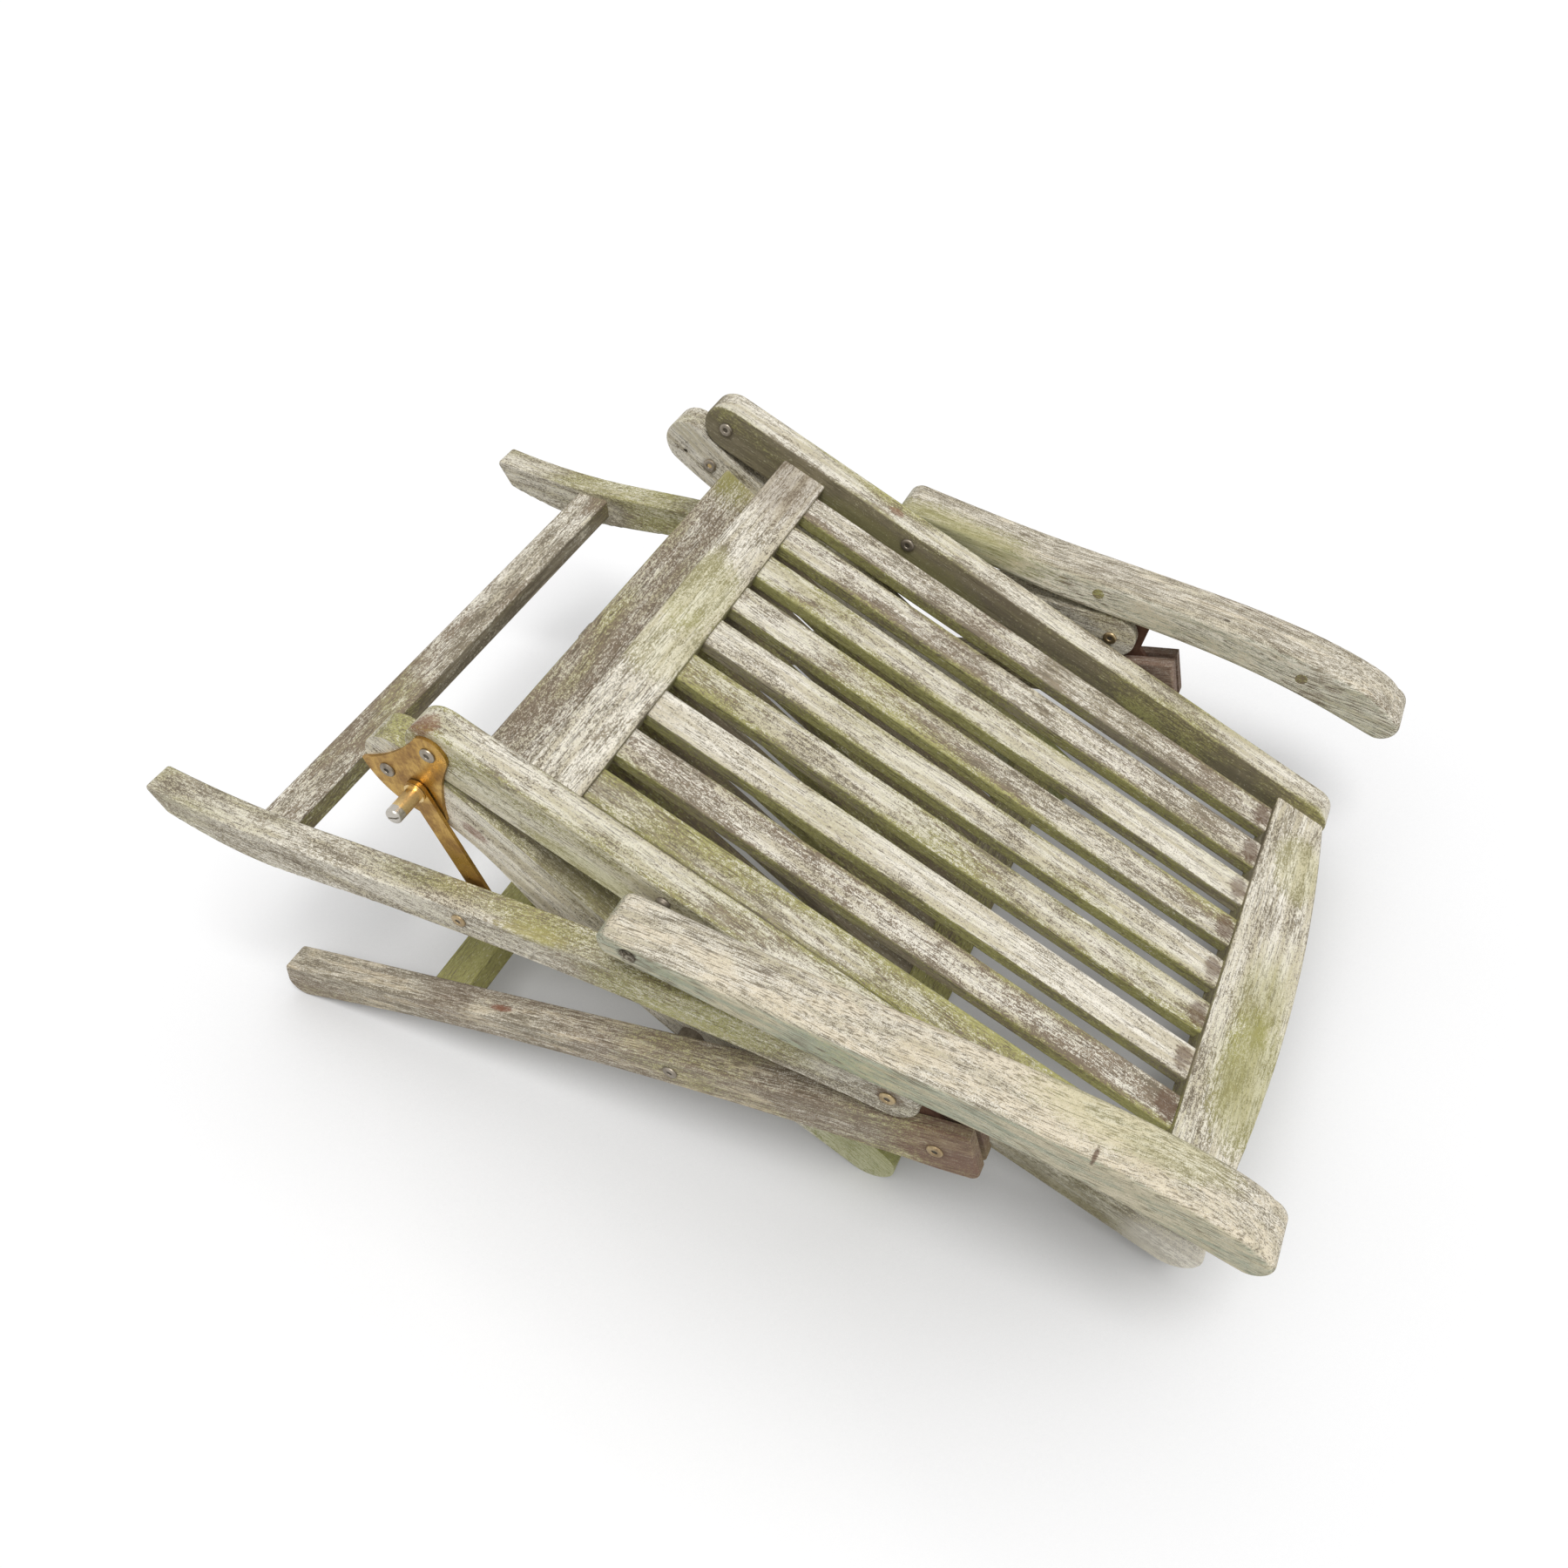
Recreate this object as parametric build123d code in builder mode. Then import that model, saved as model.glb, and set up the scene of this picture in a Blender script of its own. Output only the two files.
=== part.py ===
"""A slatted teak folding armchair, folded flat and lying on its front.

Side view numbers are (along, out): along runs up the back from its hinge to the crest,
out runs from the back's rear face. Right is the sitter's right, at +X.
"""
import os
from math import asin, atan2, cos, degrees, hypot, radians, sin

from build123d import *

# Frame of the back and seat
inner_width = 440.0
stile_thickness = 28.0
hinge_play = 0.4
back_depth = 47.0
back_top = 662.0
bottom_rail = (62.8, 108.7)
crest_lower = 630.0
crest_end = 682.0
crest_middle = 700.0
rail_thickness = 24.0
rail_rear = 10.0
back_slats = 9
back_slat_margin = 12.0
back_slat_width = 32.0
back_slat_thickness = 14.0
slat_rear = 5.0
seat_slats = 8
seat_slat_margin = 26.5
seat_slat_width = 37.0
seat_slat_thickness = 15.0
seat_slat_top = 10.0
seat_slope = -13.0
seat_depth = 48.0
seat_reach = 477.0
seat_tail = 29.0
rear_rail = (15.0, 61.0)
front_rail = (430.0, 476.0)
wood_round = 2.5

# Pivots in the side view, folded
back_hinge = (0.0, 0.0)
support_pin = (0.0, -49.5)
plate_screw = (-28.1, -52.1)
arm_pivot = (203.8, 8.8)
strap_rivet = (75.9, -131.1)
rear_top = (413.6, 22.4)
front_top = (468.4, -3.8)
leg_pivot = (284.6, -147.0)
notch_turn = 38.0

# Layers along X, one side
plate_thickness = 3.0
strap_gap = 1.0
strap_thickness = 3.0
strap_width = 20.0
leg_gap = 2.5
leg_thickness = 28.0
washer_thickness = 7.0
arm_width = 45.0

# Legs and stretchers
rear_head = 24.0
front_head = 27.0
front_head_reach = 31.0
front_head_round = 9.0
rear_sole_turn = -38.7
rear_sole = 36.0
front_sole_turn = -77.0
front_sole = 55.0
heel_round = 16.0
stretcher_thickness = 22.0
rear_stretcher_width = 37.0
front_stretcher_width = 44.0

# Arms, brackets and racks
arm_turn = {"right": 17.2, "left": 14.7}
arm_top = 12.0
arm_under = 15.0
arm_tail = 14.5
arm_round = 6.0
arm_front = 474.0
groove = (165.0, 395.0)
groove_width = 16.0
groove_roof = 9.0
rack_thickness = 3.0
rack_ends = (172.0, 388.0)
rack_bolts = (180.0, 377.0)
open_notch = 271.0
notch_pitch = 24.0
notches = 5
pin_drop = 4.0
bracket_thickness = 5.0
bracket_lobe = 13.0
kerf = 6.0

# Fasteners
bolt_radius = 5.0
rivet_radius = 4.0
pin_radius = 7.0
cross_pin_radius = 4.0
cross_pin_length = 14.0
screw_radius = 2.5
screw_length = 18.0
washer_radius = 11.0
plug_radius = 5.5
plug_depth = 4.0
rack_bolt_radius = 2.0
rack_bolt_length = 28.0
rack_bolt_rise = 5.0
arm_bolt_depth = 14.0
arm_bolt_head = 4.0
head_radius = 6.5
head_proud = 1.2
running = 0.05
face_gap = 0.3
seat_gap = 0.4

# Worked out
half = inner_width / 2
stile_outer = half + stile_thickness
plate_outer = stile_outer + plate_thickness
strap_inner = plate_outer + strap_gap
strap_outer = strap_inner + strap_thickness
leg_inner = strap_outer + leg_gap
leg_outer = leg_inner + leg_thickness
leg_middle = leg_inner + leg_thickness / 2
arm_inner = stile_outer + washer_thickness
arm_outer = arm_inner + arm_width
back_slat_pitch = (inner_width - 2 * back_slat_margin - back_slat_width) / (back_slats - 1)
seat_slat_pitch = (inner_width - 2 * seat_slat_margin - seat_slat_width) / (seat_slats - 1)


def along(point, turn, distance):
    """The point a distance away from another, in a direction in degrees."""
    return (
        point[0] + distance * cos(radians(turn)),
        point[1] + distance * sin(radians(turn)),
    )


def local(point, turn, u, w):
    """A point u along and w above an axis through another point."""
    return along(along(point, turn, u), turn + 90, w)


def middle(first, second):
    return ((first[0] + second[0]) / 2, (first[1] + second[1]) / 2)


strap_length = hypot(strap_rivet[0] - support_pin[0], strap_rivet[1] - support_pin[1])
pin_seat = along(strap_rivet, notch_turn, strap_length)
seat_nose = along(support_pin, seat_slope, seat_reach)

rear_tip = (-235.0, -262.0)
rear_heel = along(rear_tip, rear_sole_turn, rear_sole)
front_toe = (-73.0, -446.0)
front_heel = along(front_toe, front_sole_turn, front_sole)
rear_turn = 24.0
front_lower_turn = 35.0
front_upper_turn = 42.0

with BuildSketch() as rear_leg_side:
    with BuildLine():
        lower_knee = (-60.0, -233.0)
        upper_knee = (-79.0, -199.0)
        lower_end = along(rear_top, rear_turn - 90, rear_head)
        upper_end = along(rear_top, rear_turn + 90, rear_head)
        ThreePointArc(rear_heel, (-136.0, -271.0), lower_knee)
        ThreePointArc(lower_knee, (170.0, -106.0), lower_end)
        ThreePointArc(lower_end, along(rear_top, rear_turn, rear_head), upper_end)
        ThreePointArc(upper_end, (150.0, -77.0), upper_knee)
        ThreePointArc(upper_knee, (-152.0, -234.0), rear_tip)
        Line(rear_tip, rear_heel)
    make_face()
    foot = rear_leg_side.vertices().sort_by(Axis.X)
    fillet(foot[0:2], radius=5)

with BuildSketch() as front_leg_side:
    head_turn = (front_upper_turn + front_lower_turn) / 2
    with BuildLine():
        upper_end = along(front_top, front_upper_turn + 90, front_head)
        lower_end = along(front_top, front_lower_turn - 90, front_head)
        upper_corner = local(front_top, head_turn, front_head_reach, front_head)
        lower_corner = local(front_top, head_turn, front_head_reach, -front_head)
        ThreePointArc(front_toe, (194.0, -208.0), upper_end)
        Polyline(upper_end, upper_corner, lower_corner, lower_end)
        ThreePointArc(lower_end, (217.0, -229.0), front_heel)
        Line(front_heel, front_toe)
    make_face()
    fillet(front_leg_side.vertices().sort_by(Axis.X)[-2:], radius=front_head_round)
    fillet(front_leg_side.vertices().sort_by(Axis.Y)[0], radius=heel_round)
    fillet(front_leg_side.vertices().sort_by(Axis.X)[0], radius=8)

# The folded chair lies on its front heels and on the noses of the seat
heel_arc = front_leg_side.edges().filter_by(GeomType.CIRCLE).filter_by(
    lambda edge: abs(edge.radius - heel_round) < 0.01
)[0]
heel_center = (heel_arc.arc_center.X, heel_arc.arc_center.Y)
nose_round = seat_depth / 2
reach = hypot(seat_nose[0] - heel_center[0], seat_nose[1] - heel_center[1])
lie_angle = degrees(
    atan2(seat_nose[1] - heel_center[1], seat_nose[0] - heel_center[0])
    - asin((nose_round - heel_round) / reach)
)


def tilted(point):
    """A side view point turned so that the floor is level."""
    y, z = point
    tilt = radians(lie_angle)
    return (y * cos(tilt) + z * sin(tilt), z * cos(tilt) - y * sin(tilt))


with BuildSketch() as arm_side:
    with BuildLine():
        brow = (arm_front - 13, 5)
        lip = (arm_front - 16, -28)
        Line((-arm_tail, arm_top), (0, arm_top))
        Spline(
            (0, arm_top), (110, 14), (220, 21), (345, 26.5), (415, 21), brow,
            tangents=((1, 0), (0.8, -0.75)),
        )
        ThreePointArc(brow, (arm_front, -13), lip)
        Spline(
            lip, (415, -20.5), (335, -12), (240, -13), (150, -17.5), (60, -16), (0, -arm_under),
            tangents=((-1, 0.15), (-1, 0)),
        )
        nose = (arm_top + arm_under) / 2
        Line((0, -arm_under), (-arm_tail, -arm_under))
        ThreePointArc(
            (-arm_tail, -arm_under), (-arm_tail - nose, arm_top - nose), (-arm_tail, arm_top)
        )
    make_face()

floor = heel_round - tilted(heel_center)[1]
foot_end = (Rot(Z=-lie_angle) * rear_leg_side.sketch).bounding_box().min.X
arm_ends = [
    (Pos(*tilted(arm_pivot)) * Rot(Z=turn - lie_angle) * arm_side.sketch).bounding_box().max.X
    for turn in arm_turn.values()
]
shift = -(foot_end + max(arm_ends)) / 2


def placed(point):
    """Where a side view point stands, as (Y, Z)."""
    y, z = tilted(point)
    return (y + shift, z + floor)


def side_plane(x, point=(0.0, 0.0), turn=0.0):
    """The plane across X at x, its origin on a side view point."""
    y, z = placed(point)
    slope = radians(turn - lie_angle)
    return Plane(origin=(x, y, z), x_dir=(0, cos(slope), sin(slope)), z_dir=(1, 0, 0))


def face_plane(out):
    """The plane of the back's broad face, at a distance out from the hinge line."""
    tilt = radians(lie_angle)
    y, z = placed((0.0, out))
    return Plane(origin=(0, y, z), x_dir=(1, 0, 0), z_dir=(0, sin(tilt), cos(tilt)))


os.makedirs("parts", exist_ok=True)


def save(piece, name):
    """Name a finished piece and write its file."""
    piece.label = name
    export_step(piece, f"parts/{name}.step")


def save_pair(piece, name):
    """Write a right hand piece and its mirror image on the left."""
    save(piece, f"{name}_right")
    with BuildPart() as twin:
        mirror(piece, about=Plane.YZ)
    save(twin.part, f"{name}_left")


def save_group(piece, name):
    """Write one node of fasteners, the right hand ones and their mirror images."""
    with BuildPart() as group:
        add(piece)
        mirror(piece, about=Plane.YZ)
    save(group.part, name)


# Back
with BuildPart() as back_stile:
    with BuildSketch(side_plane(half)):
        with BuildLine():
            Line((0, -back_depth / 2), (back_top, -back_depth / 2))
            ThreePointArc(
                (back_top, -back_depth / 2), (back_top + back_depth / 2, 0), (back_top, back_depth / 2)
            )
            Line((back_top, back_depth / 2), (0, back_depth / 2))
            ThreePointArc((0, back_depth / 2), (-back_depth / 2, 0), (0, -back_depth / 2))
        make_face()
    extrude(amount=stile_thickness - hinge_play)
    fillet(back_stile.faces().filter_by(Axis.X).edges(), radius=wood_round)
    with BuildSketch(side_plane(half, back_hinge)):
        Circle(bolt_radius + running)
    extrude(amount=stile_thickness, mode=Mode.SUBTRACT)
    with BuildSketch(side_plane(half, arm_pivot)):
        Circle(rivet_radius)
    extrude(amount=stile_thickness, mode=Mode.SUBTRACT)
save_pair(back_stile.part, "back_stile")

with BuildPart() as back_bottom_rail:
    center = (sum(bottom_rail) / 2, rail_rear - rail_thickness / 2)
    with BuildSketch(side_plane(-half, center)):
        Rectangle(bottom_rail[1] - bottom_rail[0], rail_thickness)
    extrude(amount=inner_width)
    fillet(back_bottom_rail.edges().filter_by(Axis.X), radius=wood_round)
save(back_bottom_rail.part, "back_bottom_rail")

with BuildPart() as back_crest_rail:
    with BuildSketch(face_plane(rail_rear - rail_thickness)):
        with BuildLine():
            Line((-half, crest_end), (-half, crest_lower))
            Line((-half, crest_lower), (half, crest_lower))
            Line((half, crest_lower), (half, crest_end))
            ThreePointArc((half, crest_end), (0, crest_middle), (-half, crest_end))
        make_face()
    extrude(amount=rail_thickness)
    long_edges = back_crest_rail.edges().filter_by(lambda edge: edge.length > half)
    fillet(long_edges, radius=wood_round)
save(back_crest_rail.part, "back_crest_rail")

for index in range(back_slats):
    offset_x = (index - (back_slats - 1) / 2) * back_slat_pitch
    with BuildPart() as back_slat:
        center = ((bottom_rail[1] + crest_lower) / 2, slat_rear - back_slat_thickness / 2)
        with BuildSketch(side_plane(offset_x - back_slat_width / 2, center)):
            Rectangle(crest_lower - bottom_rail[1], back_slat_thickness)
        extrude(amount=back_slat_width)
        long_edges = back_slat.edges().filter_by(lambda edge: edge.length > 100)
        fillet(long_edges, radius=wood_round)
    save(back_slat.part, f"back_slat_{index + 1}")

# Seat
seat_side = (support_pin, seat_slope)
with BuildPart() as seat_stile:
    with BuildSketch(side_plane(half, *seat_side)):
        edge_out = seat_depth / 2
        with BuildLine():
            ThreePointArc(
                (-seat_tail, edge_out), (-seat_tail - edge_out, 0), (-seat_tail, -edge_out)
            )
            Spline(
                (-seat_tail, -edge_out), (75, -21), (140, -36), (235, -48), (330, -47),
                (seat_reach, -edge_out),
                tangents=((1, 0), (1, 0.1)),
            )
            ThreePointArc(
                (seat_reach, -edge_out), (seat_reach + edge_out, 0), (seat_reach, edge_out)
            )
            Line((seat_reach, edge_out), (-seat_tail, edge_out))
        make_face()
    extrude(amount=stile_thickness)
    for spot, radius in (
        (support_pin, pin_radius - 1), (plate_screw, screw_radius), (leg_pivot, bolt_radius),
    ):
        with BuildSketch(side_plane(half, spot)):
            Circle(radius)
        extrude(amount=stile_thickness, mode=Mode.SUBTRACT)
save_pair(seat_stile.part, "seat_stile")

for name, ends in (("seat_rear_rail", rear_rail), ("seat_front_rail", front_rail)):
    with BuildPart() as seat_rail:
        center = along(support_pin, seat_slope, sum(ends) / 2)
        with BuildSketch(side_plane(-half, center, seat_slope)):
            Rectangle(ends[1] - ends[0], rail_thickness)
        extrude(amount=inner_width)
        fillet(seat_rail.edges().filter_by(Axis.X), radius=wood_round)
    save(seat_rail.part, name)

for index in range(seat_slats):
    offset_x = (index - (seat_slats - 1) / 2) * seat_slat_pitch
    with BuildPart() as seat_slat:
        start, end = rear_rail[1], front_rail[0]
        center = (start + end) / 2
        with BuildSketch(side_plane(offset_x - seat_slat_width / 2, *seat_side)):
            with Locations((center, seat_slat_top - seat_slat_thickness / 2)):
                Rectangle(end - start, seat_slat_thickness)
        extrude(amount=seat_slat_width)
        long_edges = seat_slat.edges().filter_by(lambda edge: edge.length > 100)
        fillet(long_edges, radius=wood_round)
    save(seat_slat.part, f"seat_slat_{index + 1}")

# Hinge plates, straps and the pins that the rear legs hook under
with BuildPart() as hinge_plate:
    with BuildSketch(side_plane(stile_outer)):
        tail, toe = (-51.0, -58.0), (30.0, -70.0)
        ear_front, ear_rear = (16.5, 0.0), (-13.5, 9.5)
        with BuildLine():
            ThreePointArc(tail, (-12, -80), toe)
            ThreePointArc(toe, (18.5, -36), ear_front)
            ThreePointArc(ear_front, (2, 16.4), ear_rear)
            ThreePointArc(ear_rear, (-26, -24), tail)
        make_face()
    extrude(amount=plate_thickness)
    fillet(hinge_plate.edges().filter_by(Axis.X).group_by(Axis.Z)[0], radius=3)
    for spot, radius in (
        (back_hinge, bolt_radius), (support_pin, pin_radius - 1), (plate_screw, screw_radius),
    ):
        with BuildSketch(side_plane(stile_outer, spot)):
            Circle(radius)
        extrude(amount=plate_thickness, mode=Mode.SUBTRACT)
save_pair(hinge_plate.part, "hinge_plate")

with BuildPart() as support_pin_solid:
    with BuildSketch(side_plane(half - head_proud, support_pin)):
        Circle(head_radius)
    extrude(amount=head_proud)
    with BuildSketch(side_plane(half, support_pin)):
        Circle(pin_radius - 1)
    extrude(amount=plate_outer - half)
    with BuildSketch(side_plane(plate_outer, support_pin)):
        Circle(pin_radius)
    extrude(amount=leg_outer - 1 - plate_outer)
    tip = support_pin_solid.faces().sort_by(Axis.X)[-1]
    fillet(tip.edges(), radius=3)
    with BuildSketch(side_plane(leg_outer - 2.5, support_pin, 45)):
        Rectangle(2 * pin_radius, 1.6)
    extrude(amount=2, mode=Mode.SUBTRACT)
save_pair(support_pin_solid.part, "support_pin")

with BuildPart() as pin_collar:
    with BuildSketch(side_plane(strap_outer + face_gap, support_pin)):
        Circle(pin_radius + 2)
        Circle(pin_radius, mode=Mode.SUBTRACT)
    extrude(amount=2)
save_group(pin_collar.part, "pin_collars")

strap_slope = degrees(
    atan2(strap_rivet[1] - support_pin[1], strap_rivet[0] - support_pin[0])
)
with BuildPart() as strap:
    strap_middle = middle(support_pin, strap_rivet)
    with BuildSketch(side_plane(strap_inner, strap_middle, strap_slope)):
        SlotCenterToCenter(strap_length, strap_width)
    extrude(amount=strap_thickness)
    for spot, radius in ((support_pin, pin_radius + running), (strap_rivet, rivet_radius)):
        with BuildSketch(side_plane(strap_inner, spot)):
            Circle(radius)
        extrude(amount=strap_thickness, mode=Mode.SUBTRACT)
save_pair(strap.part, "strap")

with BuildPart() as strap_stud:
    with BuildSketch(side_plane(strap_inner - head_proud, strap_rivet)):
        Circle(head_radius)
    extrude(amount=head_proud)
    with BuildSketch(side_plane(strap_inner, strap_rivet)):
        Circle(rivet_radius)
    extrude(amount=strap_thickness)
    with BuildSketch(side_plane(strap_outer, strap_rivet)):
        Circle(head_radius + 1)
    extrude(amount=leg_inner - strap_outer - seat_gap)
save_group(strap_stud.part, "strap_studs")


def bolt(name, spot, radius, inner, outer):
    """A bolt across X with a low head at each end."""
    with BuildPart() as shank:
        for start, size, length in (
            (inner - head_proud, head_radius, head_proud),
            (inner, radius, outer - inner),
            (outer, head_radius, head_proud),
        ):
            with BuildSketch(side_plane(start, spot)):
                Circle(size)
            extrude(amount=length)
        fillet(shank.edges().sort_by(Axis.X)[-1], radius=head_proud * 0.7)
    save_group(shank.part, name)


bolt("back_hinge_bolts", back_hinge, bolt_radius, half, plate_outer)
bolt("leg_pivot_bolts", leg_pivot, bolt_radius, half, leg_outer)

with BuildPart() as plate_screw_solid:
    with BuildSketch(side_plane(stile_outer - screw_length, plate_screw)):
        Circle(screw_radius)
    extrude(amount=plate_outer - stile_outer + screw_length)
    with BuildSketch(side_plane(plate_outer, plate_screw)):
        Circle(head_radius)
    extrude(amount=head_proud)
    with BuildSketch(side_plane(plate_outer + head_proud - 0.6, plate_screw, 20)):
        Rectangle(2 * head_radius, 1.2)
    extrude(amount=1, mode=Mode.SUBTRACT)
save_group(plate_screw_solid.part, "plate_screws")

with BuildPart() as leg_spacer:
    with BuildSketch(side_plane(stile_outer, leg_pivot)):
        Circle(washer_radius)
        Circle(bolt_radius, mode=Mode.SUBTRACT)
    extrude(amount=leg_inner - stile_outer - face_gap)
save_group(leg_spacer.part, "leg_spacers")

# Legs, with a saw kerf in each top for the bracket
with BuildPart() as rear_leg:
    with BuildSketch(side_plane(leg_inner)):
        add(rear_leg_side.sketch)
    extrude(amount=leg_thickness)
    fillet(rear_leg.faces().filter_by(Axis.X).edges(), radius=wood_round)
    with BuildSketch(side_plane(leg_inner, pin_seat)):
        Circle(pin_radius + seat_gap)
    extrude(amount=leg_thickness, mode=Mode.SUBTRACT)
    with BuildSketch(side_plane(leg_middle - kerf / 2, along(rear_top, rear_turn, 16), rear_turn)):
        Rectangle(68, 80)
    extrude(amount=kerf, mode=Mode.SUBTRACT)
    for spot, radius in ((rear_top, rivet_radius), (strap_rivet, rivet_radius)):
        with BuildSketch(side_plane(leg_inner, spot)):
            Circle(radius)
        extrude(amount=leg_thickness, mode=Mode.SUBTRACT)
save_pair(rear_leg.part, "rear_leg")

with BuildPart() as front_leg:
    with BuildSketch(side_plane(leg_inner)):
        add(front_leg_side.sketch)
    extrude(amount=leg_thickness)
    fillet(front_leg.faces().filter_by(Axis.X).edges(), radius=wood_round)
    with BuildSketch(side_plane(leg_middle - kerf / 2, along(front_top, 40, 4), 40)):
        Rectangle(68, 80)
    extrude(amount=kerf, mode=Mode.SUBTRACT)
    for spot, radius in ((front_top, rivet_radius), (leg_pivot, bolt_radius + running)):
        with BuildSketch(side_plane(leg_inner, spot)):
            Circle(radius)
        extrude(amount=leg_thickness, mode=Mode.SUBTRACT)
save_pair(front_leg.part, "front_leg")

with BuildPart() as strap_rivet_solid:
    with BuildSketch(side_plane(leg_inner, strap_rivet)):
        Circle(rivet_radius)
    extrude(amount=leg_thickness)
    with BuildSketch(side_plane(leg_outer, strap_rivet)):
        Circle(head_radius)
    extrude(amount=head_proud)
save_group(strap_rivet_solid.part, "strap_rivets")

bolt("rear_bracket_rivets", rear_top, rivet_radius, leg_inner, leg_outer)
bolt("front_bracket_rivets", front_top, rivet_radius, leg_inner, leg_outer)

for name, corner, turn, width in (
    ("rear_stretcher", (-131.0, -230.5), 24.5, rear_stretcher_width),
    ("front_stretcher", (64.0, -326.5), 41.7, front_stretcher_width),
):
    with BuildPart() as stretcher:
        center = local(corner, turn, width / 2, -stretcher_thickness / 2 - 1)
        with BuildSketch(side_plane(-leg_inner, center, turn)):
            Rectangle(width, stretcher_thickness)
        extrude(amount=2 * leg_inner)
        fillet(stretcher.edges().filter_by(Axis.X), radius=wood_round)
    save(stretcher.part, name)

# Brackets that carry the arms on the leg tops
pin_axis = local(arm_pivot, arm_turn["left"], 0, -pin_drop)
web_middle = middle(rear_top, front_top)
lift = radians(arm_turn["left"])
forward = (web_middle[0] - arm_pivot[0]) * cos(lift) + (web_middle[1] - arm_pivot[1]) * sin(lift)
cross_pin = along(pin_axis, arm_turn["left"], forward)
neck_length = hypot(cross_pin[0] - web_middle[0], cross_pin[1] - web_middle[1])
web_length = hypot(front_top[0] - rear_top[0], front_top[1] - rear_top[1])
web_turn = degrees(atan2(front_top[1] - rear_top[1], front_top[0] - rear_top[0]))
neck_turn = degrees(atan2(cross_pin[1] - web_middle[1], cross_pin[0] - web_middle[0]))
bracket_inner = leg_middle - bracket_thickness / 2
with BuildPart() as arm_bracket:
    with BuildSketch(side_plane(bracket_inner, web_middle, web_turn)):
        SlotCenterToCenter(web_length, 2 * bracket_lobe)
    extrude(amount=bracket_thickness)
    with BuildSketch(side_plane(bracket_inner, middle(web_middle, cross_pin), neck_turn)):
        SlotCenterToCenter(neck_length, 14)
    extrude(amount=bracket_thickness)
    for spot, radius in (
        (rear_top, rivet_radius + running),
        (front_top, rivet_radius + running),
        (cross_pin, cross_pin_radius),
    ):
        with BuildSketch(side_plane(bracket_inner, spot)):
            Circle(radius)
        extrude(amount=bracket_thickness, mode=Mode.SUBTRACT)
save_pair(arm_bracket.part, "arm_bracket")

with BuildPart() as bracket_pin:
    with BuildSketch(side_plane(leg_middle - cross_pin_length / 2, cross_pin)):
        Circle(cross_pin_radius)
    extrude(amount=cross_pin_length)
save_group(bracket_pin.part, "bracket_pins")

# Arms, each with a groove underneath that hides a pair of toothed racks
with BuildPart() as arm_washer:
    with BuildSketch(side_plane(stile_outer - hinge_play, arm_pivot)):
        Circle(washer_radius)
        Circle(rivet_radius, mode=Mode.SUBTRACT)
    extrude(amount=arm_inner - stile_outer + hinge_play - face_gap)
save_group(arm_washer.part, "arm_washers")

with BuildPart() as arm_pivot_bolt:
    for start, size, end in (
        (half - head_proud, head_radius, half),
        (half, rivet_radius, arm_outer - arm_bolt_depth),
        (arm_outer - arm_bolt_depth, head_radius, arm_outer - arm_bolt_depth + arm_bolt_head),
    ):
        with BuildSketch(side_plane(start, arm_pivot)):
            Circle(size)
        extrude(amount=end - start)
save_group(arm_pivot_bolt.part, "arm_pivot_bolts")

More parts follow.
